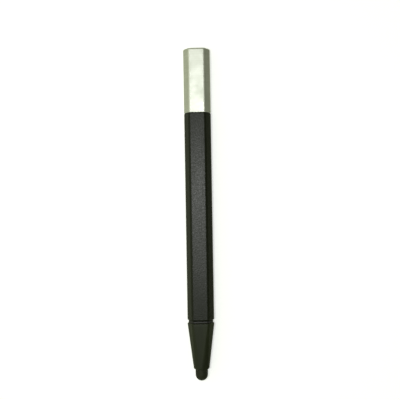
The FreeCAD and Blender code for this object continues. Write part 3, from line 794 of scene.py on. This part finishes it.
def opal_table():
    """A flat square sheet under the pen with a painted glow and no lamp, which glows evenly, lifts the pen's
    shadow on it, and is a little uneven in its white.
    """
    mesh = bpy.data.meshes.new("opal_table")
    corners = [(x * TABLE_HALF, y * TABLE_HALF, floor_level) for x, y in ((-1, -1), (1, -1), (1, 1), (-1, 1))]
    mesh.from_pydata(corners, [], [(0, 1, 2, 3)])
    sheet = bpy.data.objects.new("opal_table", mesh)
    bpy.context.scene.collection.objects.link(sheet)
    # The emission is a painted glow: the sheet is no lamp, yet it lights the floor and the pen from below and
    # lifts the pen's shadow.
    material, shader, place = finish(
        "acrylic_opal_painted_glow", Roughness=0.95, Specular_IOR_Level=0.2, Emission_Strength=TABLE_GLOW,
        Emission_Color=linear("#fafaff"))
    cast = noise(material, place, 1.2 * MM, detail=4.0)
    tone = spread(material, (cast, "Fac"), 0.0, 1.0)
    colour = blend_colours(material, (tone, "Result"), "#f6f7f3", "#fbfcf8")
    connect(material, colour, 2, shader, "Base Color")
    mesh.materials.append(material)
    sheet.visible_glossy = False
    print(f"table: {2 * TABLE_HALF:.1f} m square at {1000 * floor_level:.2f} mm")


opal_table()

# %% [markdown]
# ## The camera
#
# The camera hangs 271 mm above the pen and a little to the right of it, so the right-hand flats show more
# than the left-hand ones. Its lens follows from how wide the view is at the pen: the sensor's width times
# the distance over the view's width. A longer lens from further off would frame the pen in the same way,
# but would flatten it. The view leans by a degree, so the pen stands a little askew in it.

# %% The camera's place and lens
CAMERA_RISE = 0.271
CAMERA_ASIDE = 0.008
AIM_X, AIM_Y = 0.00038, 0.0051
SENSOR = 36.0
FRAME_WIDTH = 0.1363
LEAN = math.radians(0.967)


def aimed(kind, name, place, target, up):
    """An object at a place, looking down its own -Z at a target, with its Y towards up."""
    made = bpy.data.objects.new(name, kind)
    bpy.context.scene.collection.objects.link(made)
    forward = (Vector(target) - Vector(place)).normalized()
    right = forward.cross(Vector(up)).normalized()
    above = right.cross(forward)
    turn = Matrix((right, above, -forward)).transposed().to_4x4()
    made.matrix_world = Matrix.Translation(place) @ turn
    return made


lens = bpy.data.cameras.new("studio_camera")
lens.sensor_width = SENSOR
lens.lens = SENSOR * CAMERA_RISE / FRAME_WIDTH
lens.clip_start = 0.01
eye = (AIM_X + CAMERA_ASIDE, AIM_Y, axis_height + CAMERA_RISE)
camera = aimed(lens, "studio_camera", eye, (AIM_X, AIM_Y, axis_height), (math.sin(LEAN), math.cos(LEAN), 0))
bpy.context.scene.camera = camera
print(f"lens {lens.lens:.1f} mm, {1000 * CAMERA_RISE:.0f} mm above the pen")

# %% The lamp
def softbox(name, place, target, width, height, watts, colour):
    """A flat rectangular lamp that looks at a target."""
    lamp = bpy.data.lights.new(name, "AREA")
    lamp.shape = "RECTANGLE"
    lamp.size, lamp.size_y = width, height
    lamp.energy = watts
    lamp.color = linear(colour)[:3]
    return aimed(lamp, name, place, target, (0, 1, 0))


KEY_PLACE = (-0.022, 0.0070, 0.30)
KEY_SIDE = 0.05
KEY_WATTS = 0.28

softbox("key_softbox", KEY_PLACE, (0, 0, 0), KEY_SIDE, KEY_SIDE, KEY_WATTS, "#f8faf8")
print(f"key softbox: {1000 * KEY_SIDE:.0f} mm square, {1000 * KEY_PLACE[2]:.0f} mm up, {KEY_WATTS} W")

# %% [markdown]
# ## The room
#
# The flats of the cap and the barrel show the room, so the room matters as much as the lamp. A captured
# environment could be wrapped round the scene, but a few smooth ramps do the same: the glow on the level
# and the glow of the ceiling each fall from left to right, the table's white below is even, and the
# height of a direction blends the three. X and Z here are the parts of a direction of length 1, so Z is 0
# on the level and 1 overhead.

# %% The studio round the pen
ROOM_LEFT, ROOM_RIGHT = 0.43, 0.15
CEILING_LEFT, CEILING_RIGHT = 0.70, 0.24
TABLE_BELOW = 1.0
ROOM_SPAN = -0.87, 0.87
CEILING_SPAN = -0.65, 0.1
LEVEL_TO_CEILING = 0.0, 0.7
LEVEL_TO_TABLE = -0.55, -0.95


def studio():
    """The room's own glow. Near the level it falls evenly from the window's side, -X, to the dark side,
    +X. Higher up it blends into the ceiling, which also falls that way, and further down into the table's
    white. The backdrop that shows behind the table is a plain pale one, and lights nothing.
    """
    world = bpy.data.worlds.new("studio")
    world.use_nodes = True
    direction = add(world, "TexCoord")
    parts = add(world, "SeparateXYZ", {"Vector": (direction, "Generated")})
    glow = spread(world, (parts, "X"), ROOM_LEFT, ROOM_RIGHT, *ROOM_SPAN)
    ceiling = spread(world, (parts, "X"), CEILING_LEFT, CEILING_RIGHT, *CEILING_SPAN)
    for level, heights in (((ceiling, "Result"), LEVEL_TO_CEILING), (TABLE_BELOW, LEVEL_TO_TABLE)):
        share = spread(world, (parts, "Z"), 0.0, 1.0, *heights)
        glow = add(world, "Mix", {0: (share, "Result"), 2: (glow, "Result"), 3: level}, data_type="FLOAT")
    tree = world.node_tree
    background = tree.nodes["Background"]
    background.inputs["Color"].default_value = linear("#f2f9d6")
    connect(world, glow, "Result", background, "Strength")
    backdrop = add(world, "Background", {"Color": linear("#f4f5f1"), "Strength": 1.0})
    seen = add(world, "LightPath")
    both = add(world, "MixShader", {0: (seen, "Is Camera Ray"), 1: (background, "Background")})
    connect(world, backdrop, "Background", both, 2)
    connect(world, both, "Shader", tree.nodes["World Output"], "Surface")
    return world


bpy.context.scene.world = studio()
bpy.context.scene.view_settings.view_transform = "Standard"
print(f"room glow from {ROOM_LEFT} on the left to {ROOM_RIGHT} on the right")
